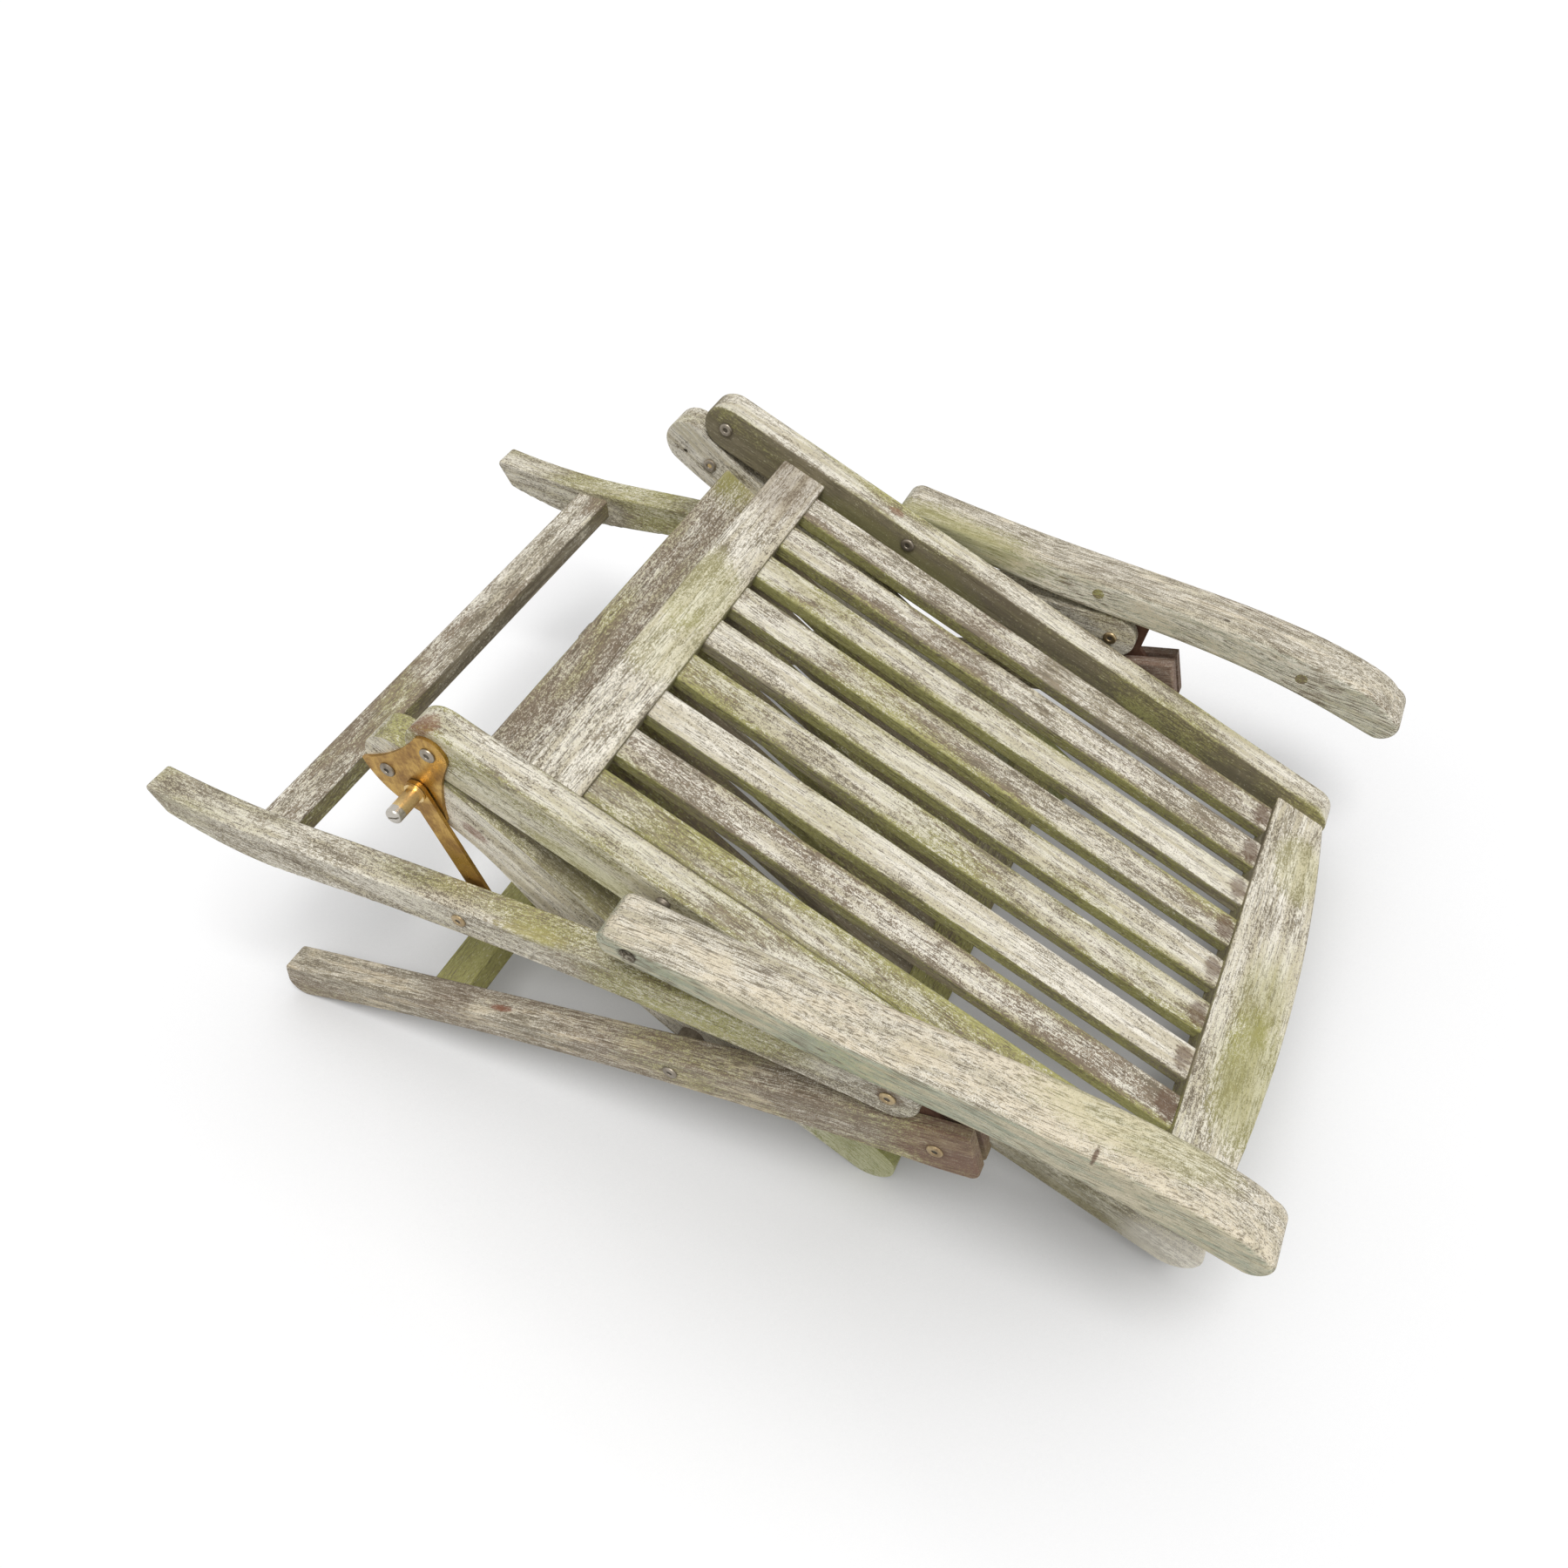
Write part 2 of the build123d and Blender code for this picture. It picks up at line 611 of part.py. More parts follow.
rack_gap = groove_width / 2
for side, turn in arm_turn.items():
    with BuildPart() as arm:
        with BuildSketch(side_plane(arm_inner, arm_pivot, turn)):
            add(arm_side.sketch)
        extrude(amount=arm_width)
        fillet(arm.faces().filter_by(Axis.X).edges(), radius=arm_round)
        groove_middle = local(arm_pivot, turn, sum(groove) / 2, groove_roof - 30)
        with BuildSketch(side_plane(leg_middle - groove_width / 2, groove_middle, turn)):
            Rectangle(groove[1] - groove[0], 60)
        extrude(amount=groove_width, mode=Mode.SUBTRACT)
        with BuildSketch(side_plane(arm_inner, arm_pivot)):
            Circle(rivet_radius + running)
        extrude(amount=arm_width, mode=Mode.SUBTRACT)
        with BuildSketch(side_plane(arm_outer - arm_bolt_depth - seat_gap, arm_pivot)):
            Circle(head_radius + seat_gap)
        extrude(amount=arm_bolt_depth + 1, mode=Mode.SUBTRACT)
        for u in rack_bolts:
            spot = local(arm_pivot, turn, u, rack_bolt_rise)
            with BuildSketch(side_plane(arm_inner, spot)):
                Circle(plug_radius)
            extrude(amount=plug_depth, mode=Mode.SUBTRACT)
            with BuildSketch(side_plane(arm_inner + plug_depth, spot)):
                Circle(rack_bolt_radius)
            extrude(amount=rack_bolt_length, mode=Mode.SUBTRACT)

    with BuildPart() as rack:
        for inner in (leg_middle - rack_gap, leg_middle + rack_gap - rack_thickness):
            rack_middle = local(arm_pivot, turn, 0, 0)
            with BuildSketch(side_plane(inner, rack_middle, turn)):
                length = rack_ends[1] - rack_ends[0]
                with Locations((sum(rack_ends) / 2, (groove_roof + 1) / 2)):
                    Rectangle(length, groove_roof - 1)
                first = open_notch - notch_pitch
                toothed = notches * notch_pitch
                with Locations((first + toothed / 2 - notch_pitch / 2, -3)):
                    Rectangle(toothed - 5, 8)
                with Locations([(first + i * notch_pitch, -pin_drop) for i in range(notches)]):
                    Circle(cross_pin_radius + seat_gap, mode=Mode.SUBTRACT)
                with Locations([(first + i * notch_pitch, -6.5) for i in range(notches)]):
                    Trapezoid(17, 5, 58, mode=Mode.SUBTRACT)
                with Locations([(u, rack_bolt_rise) for u in rack_bolts]):
                    Circle(rack_bolt_radius, mode=Mode.SUBTRACT)
            extrude(amount=rack_thickness)

    with BuildPart() as rack_bolt:
        for u in rack_bolts:
            with BuildSketch(side_plane(arm_inner + plug_depth, local(arm_pivot, turn, u, rack_bolt_rise))):
                Circle(rack_bolt_radius)
            extrude(amount=rack_bolt_length)

    with BuildPart() as arm_plug:
        for u in rack_bolts:
            with BuildSketch(side_plane(arm_inner, local(arm_pivot, turn, u, rack_bolt_rise))):
                Circle(plug_radius)
            extrude(amount=plug_depth)

    for name, piece in (
        ("arm", arm), ("recline_rack", rack), ("rack_bolts", rack_bolt), ("arm_plugs", arm_plug),
    ):
        if side == "left":
            with BuildPart() as twin:
                mirror(piece.part, about=Plane.YZ)
            save(twin.part, f"{name}_left")
        else:
            save(piece.part, f"{name}_right")

for name, spot in (
    ("back hinge", back_hinge), ("support pin", support_pin), ("leg pivot", leg_pivot),
    ("front top", front_top), ("rear top", rear_top), ("arm pivot", arm_pivot),
):
    y, z = placed(spot)
    print(f"{name}: y {y:.3f} z {z:.3f}")
print(f"lies at {lie_angle:.3f} degrees")
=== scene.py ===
from math import cos, pi, radians, sin, sqrt

import bmesh
import bpy
from mathutils import Matrix, Vector


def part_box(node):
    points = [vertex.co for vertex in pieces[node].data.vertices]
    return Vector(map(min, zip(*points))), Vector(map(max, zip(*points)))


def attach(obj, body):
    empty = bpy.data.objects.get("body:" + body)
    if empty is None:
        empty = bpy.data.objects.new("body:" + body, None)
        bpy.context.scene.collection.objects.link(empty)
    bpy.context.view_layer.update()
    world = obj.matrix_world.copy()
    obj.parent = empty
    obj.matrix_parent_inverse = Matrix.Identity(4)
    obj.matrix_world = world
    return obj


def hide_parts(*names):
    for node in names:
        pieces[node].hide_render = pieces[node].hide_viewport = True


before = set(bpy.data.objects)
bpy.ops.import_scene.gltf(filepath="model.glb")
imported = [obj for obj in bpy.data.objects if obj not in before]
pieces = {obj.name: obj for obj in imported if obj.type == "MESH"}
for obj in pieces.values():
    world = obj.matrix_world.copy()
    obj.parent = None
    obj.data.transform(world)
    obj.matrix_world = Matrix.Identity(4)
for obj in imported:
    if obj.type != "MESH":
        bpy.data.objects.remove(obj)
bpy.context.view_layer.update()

# The folded chair lies with its back sloping down to the crest, by this many degrees
LIE = 30.154
SIDEWAYS = Vector((1, 0, 0))


def side(turn):
    """A direction in the side view, turned up from the line of the back."""
    slope = radians(turn - LIE)
    return Vector((0, cos(slope), sin(slope)))


BACK_OUT = side(90)
BACK_GRAIN = side(0)
SEAT_GRAIN = side(-13)
ARM_GRAIN = side(16)
REAR_LEG_GRAIN = side(22)
FRONT_LEG_GRAIN = side(39)

# Finishes, as linear colours
BLEACHED = (0.95, 0.90, 0.79)
CHALKY = (0.65, 0.585, 0.44)
SILVER = (0.42, 0.365, 0.26)
DULL_GREY = (0.185, 0.152, 0.105)
FURROW = (0.095, 0.075, 0.048)
BROWN_GREY = (0.225, 0.165, 0.112)
MOSS = (0.36, 0.345, 0.105)
LIME = (0.53, 0.51, 0.20)
YELLOW_LICHEN = (0.50, 0.45, 0.13)
# A dark moss colour, mostly used for painted shade
SHADED_MOSS = (0.175, 0.15, 0.08)
ALGAE = (0.33, 0.355, 0.10)
PALE_GREEN = (0.47, 0.53, 0.40)
CREAM = (0.70, 0.58, 0.38)
RUST = (0.22, 0.075, 0.035)
DARK_BROWN = (0.135, 0.078, 0.048)
RUSTY_BROWN = (0.19, 0.095, 0.065)
PEPPER = (0.13, 0.105, 0.06)
GRIME = (0.05, 0.03, 0.015)

# A noise's middle, and about how far it strays from it (its standard deviation)
NOISE_MIDDLE = 0.5
NOISE_SPREAD = 0.115
# How many spreads a share moves a noise on its way from 0 to 1
SHARE_SWING = 3.0

# The wood's textures: cells per metre along and across the grain, shift, detail, roughness
FIBRE = (55.0, 1000.0, 0.0, 2.0, 0.5)
STREAK = (7.0, 140.0, 3.0, 2.0, 0.6)
FLECK = (260.0, 560.0, 7.0, 4.0, 0.75)
PATCH = (15.0, 40.0, 11.0, 4.0, 0.7)
STAIN = (5.0, 16.0, 17.0, 2.0, 0.55)
# Cells per metre of its grit, which has no grain, and of the sway of its grain
GRIT = 1200.0
SWAY_ALONG, SWAY_ACROSS = 5.0, 9.0

# How strongly each layer of the wood's finish hides what is under it
BROWN_HIDES = 0.75
SHADOW_HIDES = 0.7
FILM_HIDES = 0.8
TINGE_HIDES = 0.7
CRUST_HIDES = 0.94
FILM_ON_CRUST = 0.25
CREAM_HIDES = 0.5
LINE_HIDES = 0.5
PEPPER_HIDES = 0.55
# The share of the wood that open grain and dark specks cover, and how ragged a mark's edge is
LINE_SHARE = 0.20
PEPPER_SHARE = 0.17
RAGGED = 1.6


class Value:
    """A socket, so that the maths of a finish reads as plain expressions."""

    def __init__(self, look, socket):
        self.look, self.socket = look, socket

    def math(self, operation, first, second=None):
        sockets = {0: first} if second is None else {0: first, 1: second}
        return self.look.node("ShaderNodeMath", {"operation": operation}, sockets)

    def __add__(self, other):
        return self.math("ADD", self, other)

    def __sub__(self, other):
        return self.math("SUBTRACT", self, other)

    def __rsub__(self, other):
        return self.math("SUBTRACT", other, self)

    def __mul__(self, other):
        return self.math("MULTIPLY", self, other)

    def __abs__(self):
        return self.math("ABSOLUTE", self)

    __radd__, __rmul__ = __add__, __mul__

    def larger(self, other):
        return self.math("MAXIMUM", self, other)

    def smaller(self, other):
        return self.math("MINIMUM", self, other)

    def smooth(self, low, high):
        """0 below low, 1 above high, eased between."""
        return self.look.node(
            "ShaderNodeMapRange",
            {"interpolation_type": "SMOOTHSTEP"},
            {"Value": self, "From Min": low, "From Max": high},
        )


class Look:
    """The nodes of one finish."""

    def __init__(self, name):
        self.material = bpy.data.materials.new(name)
        self.material.use_nodes = True
        self.tree = self.material.node_tree
        self.tree.nodes.clear()
        self.place = self.node("ShaderNodeTexCoord", output="Object")
        self.facing = self.node("ShaderNodeTexCoord", output="Normal")
        self.share = self.node("ShaderNodeTexCoord", output="Generated")

    def node(self, kind, settings=None, sockets=None, output=0):
        made = self.tree.nodes.new(kind)
        for setting, value in (settings or {}).items():
            setattr(made, setting, value)
        for socket, value in (sockets or {}).items():
            if isinstance(value, Value):
                self.tree.links.new(value.socket, made.inputs[socket])
            else:
                made.inputs[socket].default_value = value
        return Value(self, made.outputs[output])

    def dot(self, vector, axis):
        return self.node(
            "ShaderNodeVectorMath", {"operation": "DOT_PRODUCT"}, {0: vector, 1: axis}, "Value"
        )

    def vector(self, x, y, z):
        return self.node("ShaderNodeCombineXYZ", None, {0: x, 1: y, 2: z})

    def noise(self, vector, scale=1.0, detail=2.0, roughness=0.5):
        return self.node(
            "ShaderNodeTexNoise",
            None,
            {"Vector": vector, "Scale": scale, "Detail": detail, "Roughness": roughness},
        )

    def blend(self, share, first, second):
        """One number turning into another."""
        return self.node("ShaderNodeMix", None, {0: share, 2: first, 3: second})

    def mix(self, share, first, second):
        """One colour turning into another."""
        first, second = (
            colour if isinstance(colour, Value) else (*colour, 1.0) for colour in (first, second)
        )
        return self.node(
            "ShaderNodeMix", {"data_type": "RGBA"}, {0: share, 6: first, 7: second}, 2
        )

    def bump(self, height, strength, distance):
        return self.node(
            "ShaderNodeBump", None, {"Strength": strength, "Distance": distance, "Height": height}
        )

    def show(self, shader, kind="ShaderNodeOutputMaterial"):
        output = self.tree.nodes.new(kind)
        self.tree.links.new(shader.socket, output.inputs["Surface"])

    def surface(self, **sockets):
        inputs = {name.replace("_", " "): value for name, value in sockets.items()}
        self.show(self.node("ShaderNodeBsdfPrincipled", None, inputs))
        return self.material


def weathered_teak(
    name, grain, lichen=0.5, side_lichen=0.2, moss=0.2, side_moss=0.5, brown=0.3, pale=0.0, cream=0.0,
    rim=0.0, deep=0.5, patchy=2.2, flaky=0.8, soft=0.42, wave=0.010, seed=0.0, marks=(),
):
    """Silvered teak with fine grain, lichen on its upper faces and algae on its sides and edges.

    Growths and stains are given as the share that they cover: lichen and moss on upper faces, and
    side_lichen and side_moss on the others; brown and cream on all; pale green on the sides only. deep
    is the share of the sides darkened with painted shade in a dark moss colour. rim adds moss along
    both edges. patchy, flaky and soft shape the lichen, wave is how far the grain sways, and seed moves
    the pattern. Each mark is its middle, its reach along and across the grain, its tint and its strength.
    """
    look = Look(name)
    runs_across = abs(grain.x) > 0.5
    across = BACK_OUT if runs_across else SIDEWAYS
    through = grain.cross(across).normalized()
    long = look.dot(look.place, grain)
    wide = look.dot(look.place, across)
    depth = look.dot(look.place, through)
    sway = look.noise(
        look.vector(long * SWAY_ALONG + seed, wide * SWAY_ACROSS, depth * SWAY_ACROSS), detail=1.0
    )
    wide = wide + sway * wave
    depth = depth + sway * wave

    def texture(along, crosswise, shift, detail, roughness):
        stretched = look.vector(long * along + (seed + shift), wide * crosswise, depth * crosswise)
        return look.noise(stretched, detail=detail, roughness=roughness)

    fibre, streak, fleck, patch, stain = (
        texture(*kind) for kind in (FIBRE, STREAK, FLECK, PATCH, STAIN)
    )
    grit = look.noise(look.place, GRIT, 1.0, 0.6)
    patchiness = patch - NOISE_MIDDLE

    def cover(layers, share, edge=0.35):
        """Where a growth lies that covers about this share of the surface."""
        size = NOISE_SPREAD * sqrt(sum(weight**2 for layer, weight in layers))
        rough = sum((layer - NOISE_MIDDLE) * (weight / size) for layer, weight in layers)
        return (rough + (share - 0.5) * SHARE_SWING).smooth(-edge, edge)

    upward = look.dot(look.facing, BACK_OUT).smooth(0.25, 0.8)
    upper = look.blend(upward, side_lichen, lichen)
    greener = look.blend(upward, side_moss, moss)
    if rim:
        # Generated coordinates run from 0 to 1 over the piece, so both edges lie 0.5 from its middle
        near_edge = abs(look.dot(look.share, SIDEWAYS) - 0.5).smooth(0.24, 0.5)
        greener = greener + near_edge * rim
        upper = upper - near_edge * (0.4 * rim)

    # Bare wood and stains, then painted shade: the sides darkened towards a dark moss colour
    colour = look.mix(streak.smooth(0.36, 0.64), DULL_GREY, SILVER)
    stained = cover(((stain, 0.8), (streak, 0.5)), brown, edge=0.7)
    colour = look.mix(stained * BROWN_HIDES, colour, BROWN_GREY)
    shadowed = cover(((streak, 0.5), (stain, 0.6), (fleck, 0.3)), deep, edge=0.8) * (1.0 - upward)
    colour = look.mix(shadowed * SHADOW_HIDES, colour, SHADED_MOSS)

    # A green film
    film = cover(
        ((stain, 0.6), (fleck, 0.6), (grit, 0.5), (fibre, 0.3)), greener + patchiness * 1.2, edge=0.5
    )
    green = look.mix((stain * 0.6 + fleck * 0.4).smooth(0.46, 0.64), MOSS, LIME)
    colour = look.mix(film * FILM_HIDES, colour, green)
    if pale:
        tinge = cover(((patch, 0.7), (fibre, 0.5)), pale, edge=0.6) * (1.0 - upward)
        colour = look.mix(tinge * TINGE_HIDES, colour, PALE_GREEN)

    # White lichen, thinner where the film is
    spread = (upper + patchiness * patchy - film * 0.22).larger(0.02).smaller(0.86)
    crust = cover(((fleck, flaky), (fibre, 1.1 - flaky), (grit, 0.65)), spread, soft)
    chalk = look.mix((streak * 0.6 + grit * 0.4).smooth(0.42, 0.56), CHALKY, BLEACHED)
    colour = look.mix(crust * CRUST_HIDES, colour, chalk)
    colour = look.mix(film * FILM_ON_CRUST, colour, MOSS)
    if cream:
        creamy = cover(((streak, 0.6), (patch, 0.7)), cream, edge=0.8)
        colour = look.mix(creamy * CREAM_HIDES, colour, CREAM)

    # Open grain, dark specks and single marks
    lines = cover(((1.0 - fibre, 1.0),), LINE_SHARE) * streak.smooth(0.36, 0.54)
    colour = look.mix(lines * LINE_HIDES, colour, FURROW)
    specks = cover(((grit, 0.7), (1.0 - fleck, 0.5)), PEPPER_SHARE)
    colour = look.mix(specks * PEPPER_HIDES, colour, PEPPER)
    for middle, (reach_along, reach_across), tint, strength in marks:
        offset = look.node(
            "ShaderNodeVectorMath", {"operation": "SUBTRACT"}, {0: look.place, 1: middle}
        )
        run = look.dot(offset, grain) * (1.0 / reach_along)
        rise = look.dot(offset, across) * (1.0 / reach_across)
        sink = look.dot(offset, through) * (1.0 / reach_across)
        ragged = patchiness * RAGGED + (fleck - NOISE_MIDDLE) * RAGGED
        gap = run * run + rise * rise + sink * sink + ragged
        colour = look.mix((1.0 - gap.smooth(0.25, 1.0)) * strength, colour, tint)

    height = crust * 0.35 + streak * 0.3 + fibre * 0.35 - lines * 0.7
    return look.surface(
        Base_Color=colour,
        Roughness=0.80 + 0.15 * fibre,
        Normal=look.bump(height, strength=0.6, distance=0.001),
    )


def dress(name, material):
    piece = pieces[name]
    piece.data.materials.clear()
    piece.data.materials.append(material)


# Pivots in the side view, (Y, Z)
BACK_HINGE = (-0.154468, 0.393053)
SUPPORT_PIN = (-0.179334, 0.350252)
LEG_PIVOT = (0.017776, 0.122982)
FRONT_TOP = (0.248637, 0.154476)
REAR_TOP = (0.214414, 0.204658)
ARM_PIVOT = (0.026173, 0.298287)


def middle_of(name):
    low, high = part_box(name)
    return (low.y + high.y) / 2, (low.z + high.z) / 2


PLATE_SCREW = middle_of("plate_screws")
STRAP_RIVET = middle_of("strap_rivets")

# Faces across the chair, from its middle: the legs' and arms' outer ones, the stiles' inner one
LEG_FACE = 0.2855
ARM_FACE = 0.297
STILE_FACE = 0.220

BOLT_HALO = 0.0105
RIVET_HALO = 0.0115
ARM_HOLE_SHADE = 0.0095


def halo(x, pivot, reach=BOLT_HALO, tint=FURROW, strength=0.55):
    """The dark ring round a fastener: a stain in the wood, and at the near arm's pivot painted shade of
    its hole.
    """
    return ((x, *pivot), (reach, reach), tint, strength)


def rusty_head(sign):
    """The stain that a bracket leaves on the head of its front leg."""
    return ((sign * 0.272, 0.275, 0.158), (0.075, 0.060), RUSTY_BROWN, 0.65)


def green_end(sign):
    """The algae on the front end of a seat stile."""
    return ((sign * 0.234, 0.165, 0.030), (0.075, 0.050), ALGAE, 0.6)


# Wood, piece by piece, with the marks that its own weather left on it, and a few marks of painted shade
near_marks = {
    "rear_leg": (
        ((LEG_FACE, -0.243, 0.282), (0.055, 0.022), YELLOW_LICHEN, 0.6),
        ((LEG_FACE, -0.086, 0.263), (0.050, 0.018), YELLOW_LICHEN, 0.5),
        halo(LEG_FACE, REAR_TOP, RIVET_HALO, DARK_BROWN),
        halo(LEG_FACE, STRAP_RIVET),
    ),
    "front_leg": (
        ((0.2746, -0.1665, 0.1010), (0.017, 0.0045), RUST, 0.85),
        rusty_head(1),
        ((0.272, -0.235, 0.100), (0.050, 0.040), DARK_BROWN, 0.25),
        halo(LEG_FACE, LEG_PIVOT),
        halo(LEG_FACE, FRONT_TOP, RIVET_HALO, DARK_BROWN),
    ),
    "arm": (
        ((0.300, 0.3665, 0.248), (0.0022, 0.0125), DARK_BROWN, 0.85),
        ((0.3005, 0.176, 0.282), (0.0060, 0.0035), FURROW, 0.9),
        ((0.300, 0.4075, 0.242), (0.0180, 0.0016), FURROW, 0.8),
        ((0.273, 0.453, 0.210), (0.0250, 0.0014), FURROW, 0.8),
        ((0.254, 0.349, 0.247), (0.0040, 0.0030), FURROW, 0.9),
        ((0.2645, 0.375, 0.241), (0.085, 0.030), LIME, 0.3),
        # Painted shade: the hole round the arm's pivot, darkened in colour
        halo(ARM_FACE, ARM_PIVOT, ARM_HOLE_SHADE, FURROW, 0.9),
    ),
    "back_stile": (
        ((0.2424, -0.156, 0.420), (0.016, 0.016), RUST, 0.6),
        ((0.247, 0.340, 0.085), (0.110, 0.035), SHADED_MOSS, 0.65),
        ((0.247, 0.425, 0.050), (0.060, 0.040), BLEACHED, 0.45),
        ((0.2476, -0.030, 0.300), (0.075, 0.022), LIME, 0.4),
    ),
    "seat_stile": (
        ((0.248, -0.142, 0.311), (0.016, 0.007), RUST, 0.55),
        # Painted shade with some algae: the dark strip along the top face, under the back stile
        ((0.238, -0.060, 0.275), (0.060, 0.020), SHADED_MOSS, 0.6),
        green_end(1),
    ),
}
far_marks = {
    "rear_leg": (),
    "front_leg": (rusty_head(-1),),
    "arm": (
        ((-0.2654, 0.3174, 0.2437), (0.0050, 0.0025), FURROW, 0.9),
        ((-0.255, 0.060, 0.290), (0.110, 0.030), MOSS, 0.55),
    ),
    "back_stile": (
        ((-0.233, 0.0115, 0.324), (0.009, 0.005), RUST, 0.5),
        ((-0.220, 0.010, 0.290), (0.120, 0.020), MOSS, 0.3),
        halo(-STILE_FACE, ARM_PIVOT),
        halo(-STILE_FACE, BACK_HINGE),
    ),
    "seat_stile": (green_end(-1), halo(-STILE_FACE, SUPPORT_PIN)),
}
for sign, hand, marks in ((1, "right", near_marks), (-1, "left", far_marks)):
    near = hand == "right"
    dress(f"rear_leg_{hand}", weathered_teak(
        f"rear_leg_teak_{hand}", REAR_LEG_GRAIN, lichen=0.56, side_lichen=0.54, moss=0.5,
        side_moss=0.42, brown=0.35, deep=0.1, patchy=1.5, seed=2.0 + sign, marks=marks["rear_leg"],
    ))
    dress(f"front_leg_{hand}", weathered_teak(
        f"front_leg_teak_{hand}", FRONT_LEG_GRAIN, lichen=0.36, side_lichen=0.32, moss=0.16,
        side_moss=0.16, brown=0.75, deep=0.1, cream=0.25, patchy=0.9, flaky=0.5, soft=1.2,
        seed=5.0 + sign, marks=marks["front_leg"],
    ))
    dress(f"arm_{hand}", weathered_teak(
        f"arm_teak_{hand}", ARM_GRAIN, lichen=0.72 if near else 0.5, side_lichen=0.2 if near else 0.62,
        moss=0.16 if near else 0.1, side_moss=0.22, brown=0.12 if near else 0.4, deep=0.1, pale=0.75,
        cream=0.45 if near else 0.2, patchy=1.2, flaky=0.4, soft=1.2, wave=0.035, seed=9.0 + sign,
        marks=marks["arm"],
    ))
    dress(f"back_stile_{hand}", weathered_teak(
        f"back_stile_teak_{hand}", BACK_GRAIN, lichen=0.68, side_lichen=0.84 if near else 0.06,
        moss=0.38, side_moss=0.36 if near else 0.12, brown=0.25, deep=0.02 if near else 0.95, rim=0.2,
        seed=13.0 + sign, marks=marks["back_stile"],
    ))
    dress(f"seat_stile_{hand}", weathered_teak(
        f"seat_stile_teak_{hand}", SEAT_GRAIN, lichen=0.5, side_lichen=0.8, moss=0.5, side_moss=0.4,
        brown=0.1, deep=0.02, seed=17.0 + sign, marks=marks["seat_stile"],
    ))
    dress(f"arm_plugs_{hand}", weathered_teak(
        f"arm_plug_teak_{hand}", ARM_GRAIN, lichen=0.1, moss=0.3, brown=0.8, seed=21.0 + sign,
    ))

dress("rear_stretcher", weathered_teak(
    "rear_stretcher_teak", SIDEWAYS, lichen=0.38, side_lichen=0.15, moss=0.2, side_moss=0.4, brown=0.6,
    seed=25.0,
))
dress("front_stretcher", weathered_teak(
    "front_stretcher_teak", SIDEWAYS, lichen=0.12, side_lichen=0.1, moss=0.85, side_moss=0.85,
    brown=0.4, deep=0.6, seed=27.0,
))
dress("back_bottom_rail", weathered_teak(
    "bottom_rail_teak", SIDEWAYS, lichen=0.62, moss=0.2, side_moss=0.5, brown=0.4, seed=29.0,
    marks=(
        ((-0.024, -0.084, 0.364), (0.060, 0.045), LIME, 0.35),
        ((0.043, -0.0725, 0.357), (0.050, 0.045), LIME, 0.25),
        ((-0.190, -0.080, 0.362), (0.070, 0.045), BROWN_GREY, 0.45),
    ),
))
dress("back_crest_rail", weathered_teak(
    "crest_rail_teak", SIDEWAYS, lichen=0.68, moss=0.34, brown=0.25, seed=31.0,
    marks=(
        ((0.003, 0.432, 0.064), (0.060, 0.030), MOSS, 0.35),
        ((-0.152, 0.429, 0.065), (0.045, 0.030), LIME, 0.30),
        ((0.085, 0.438, 0.058), (0.080, 0.040), MOSS, 0.55),
    ),
))
dress("seat_rear_rail", weathered_teak(
    "seat_rear_rail_teak", SIDEWAYS, lichen=0.42, side_lichen=0.2, moss=0.14, side_moss=0.3, brown=0.7,
    patchy=1.2, seed=33.0,
    marks=(((-0.215, -0.130, 0.360), (0.060, 0.045), MOSS, 0.7),),
))
dress("seat_front_rail", weathered_teak(
    "seat_front_rail_teak", SIDEWAYS, lichen=0.15, side_lichen=0.1, moss=0.6, side_moss=0.7, brown=0.6,
    seed=35.0,
))

# Slats, counted from the sitter's left; those of the back have a brown stain where they meet the crest
slat_lichen = (0.46, 0.54, 0.80, 0.62, 0.72, 0.64, 0.86, 0.50, 0.52)
slat_brown = (0.60, 0.50, 0.20, 0.40, 0.30, 0.40, 0.20, 0.70, 0.50)
slat_moss = (0.10, 0.18, 0.30, 0.30, 0.36, 0.38, 0.16, 0.16, 0.52)
STAIN_FROM_END, STAIN_ABOVE_LOWEST = 0.008, 0.014
SEAT_SLATS = 8
for index, (lichen, brown, moss) in enumerate(zip(slat_lichen, slat_brown, slat_moss), 1):
    low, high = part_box(f"back_slat_{index}")
    end = ((low.x + high.x) / 2, high.y - STAIN_FROM_END, low.z + STAIN_ABOVE_LOWEST)
    dress(f"back_slat_{index}", weathered_teak(
        f"back_slat_teak_{index}", BACK_GRAIN, lichen=lichen, side_lichen=0.18, moss=moss,
        side_moss=0.36, brown=brown, rim=0.25, deep=0.5, seed=40.0 + 3 * index,
        marks=((end, (0.012, 0.016), DARK_BROWN, 0.7),),
    ))
for index in range(1, SEAT_SLATS + 1):
    dress(f"seat_slat_{index}", weathered_teak(
        f"seat_slat_teak_{index}", SEAT_GRAIN, lichen=0.15, side_lichen=0.1, moss=0.4, side_moss=0.5,
        brown=0.7, seed=70.0 + 3 * index,
    ))

# Metal: how strongly grime hides it, and over what length one metal turns into another
GRIME_HIDES = 0.3
TIP_EDGE = 0.0008


